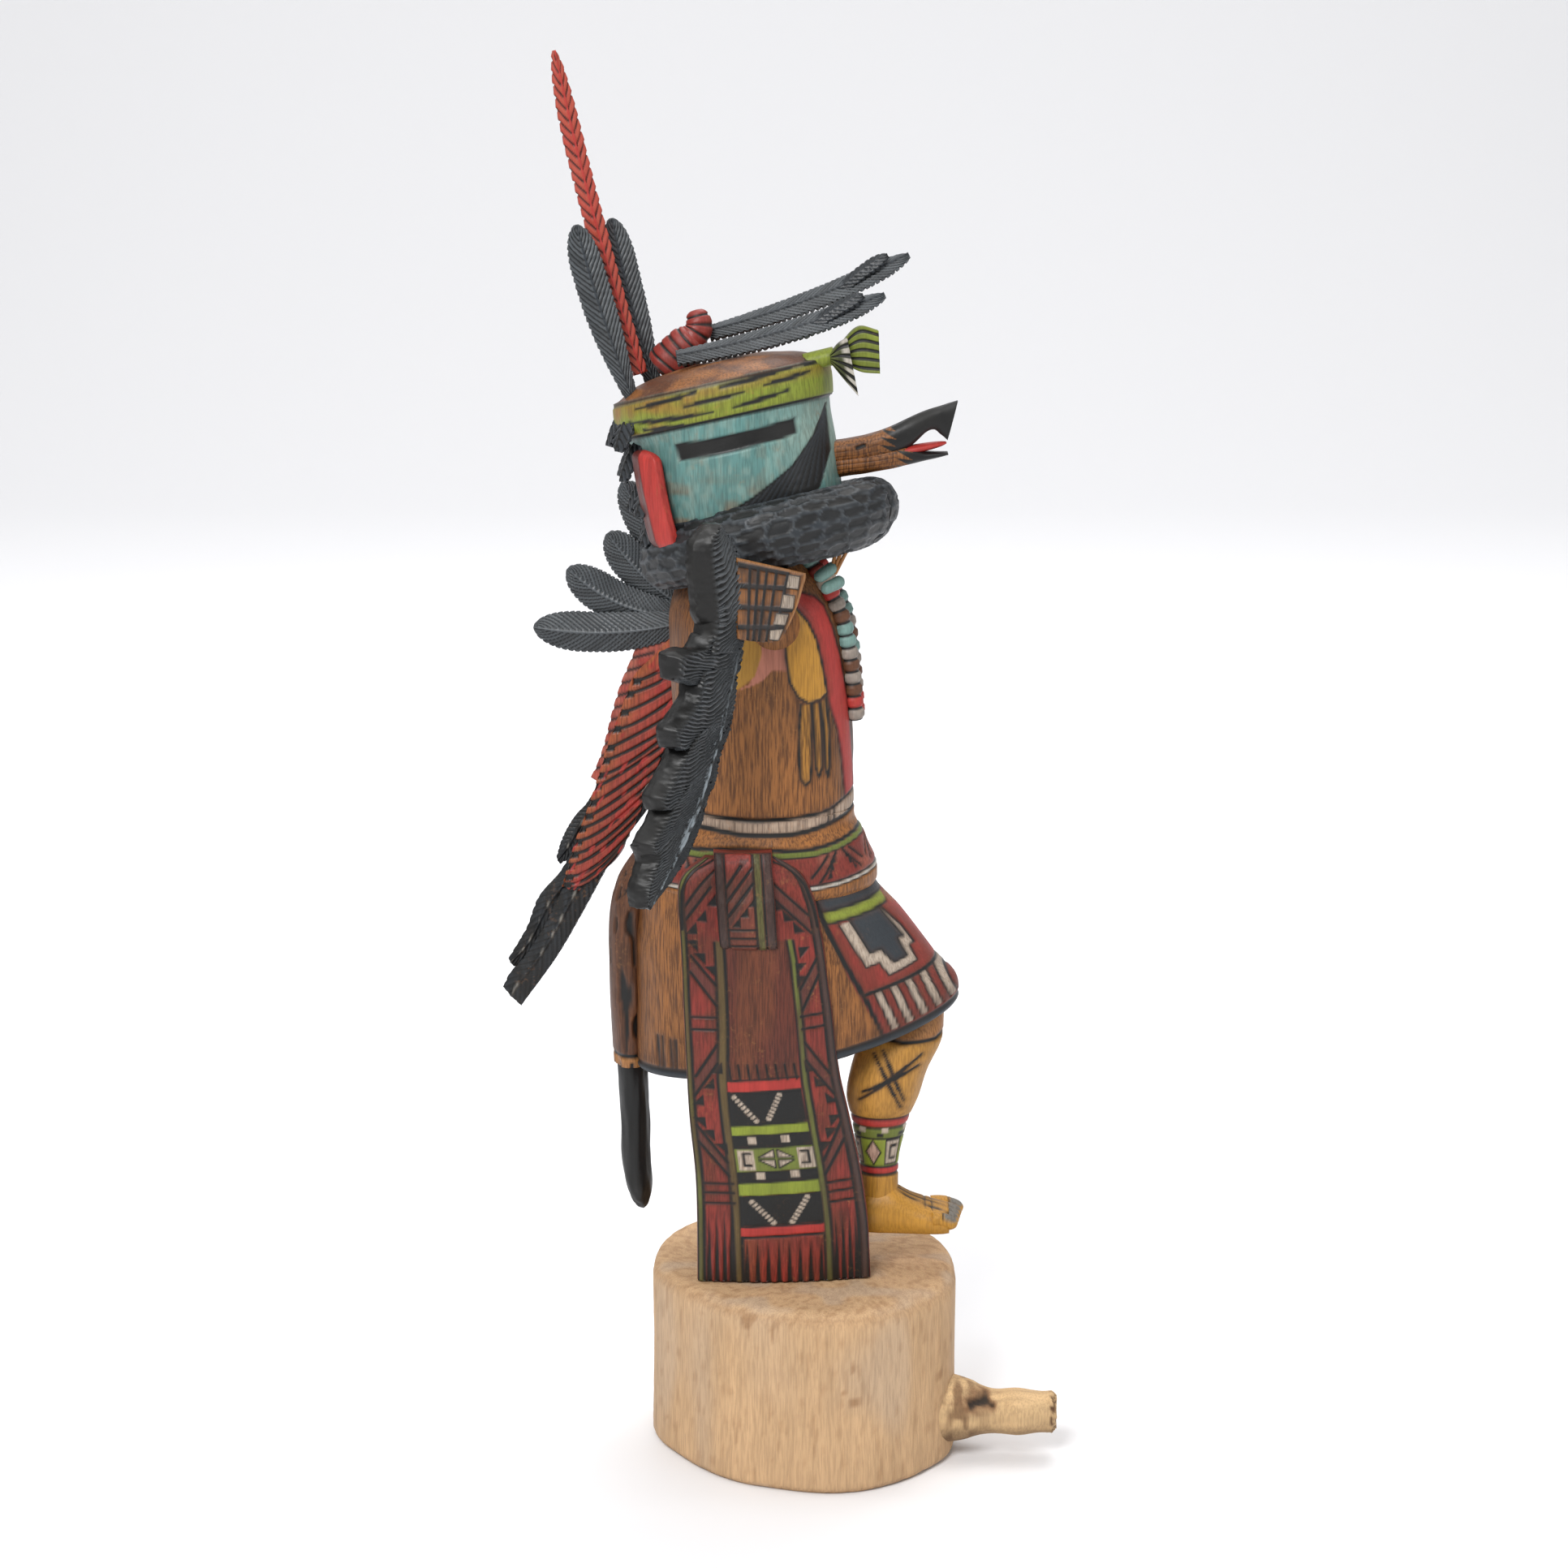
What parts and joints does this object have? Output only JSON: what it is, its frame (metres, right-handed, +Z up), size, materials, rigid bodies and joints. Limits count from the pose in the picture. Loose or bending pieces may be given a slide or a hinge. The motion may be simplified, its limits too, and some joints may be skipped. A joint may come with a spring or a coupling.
{
  "type": "kachina doll",
  "caption": "Carved and painted hawk dancer doll with wings and a hooked beak, one leg raised, on a block of cottonwood root.",
  "frame": {"origin": "middle of the base block's underside, on the surface that it stands on", "axes": "+Z up, +X the way the dancer faces, -Y the dancer's right-hand side"},
  "size_m": [0.1421, 0.1016, 0.3476],
  "materials": {
    "bare_root_wood": "bare sanded cottonwood root",
    "painted_figure": "stained and painted cottonwood with burnt lines",
    "painted_wing": "charcoal and red paint over carved feathers",
    "painted_beak": "stained brown with a burnt black tip",
    "red_feather": "brick red paint with burnt lines",
    "black_feather": "charcoal paint, dry-brushed grey",
    "green_band": "yellow-green paint with burnt lines",
    "red_ear": "red paint"
  },
  "bodies": {
    "root": {"base_block": "bare_root_wood", "carved_figure": "painted_figure", "right_wing": "painted_wing", "left_wing": "painted_wing", "beak": "painted_beak", "tall_red_feather": "red_feather", "front_black_feather": "black_feather", "rear_black_feather": "black_feather", "upper_plume": "black_feather", "lower_plume": "black_feather", "band_bow": "green_band", "right_ear": "red_ear", "left_ear": "red_ear"}
  },
  "joints": []
}
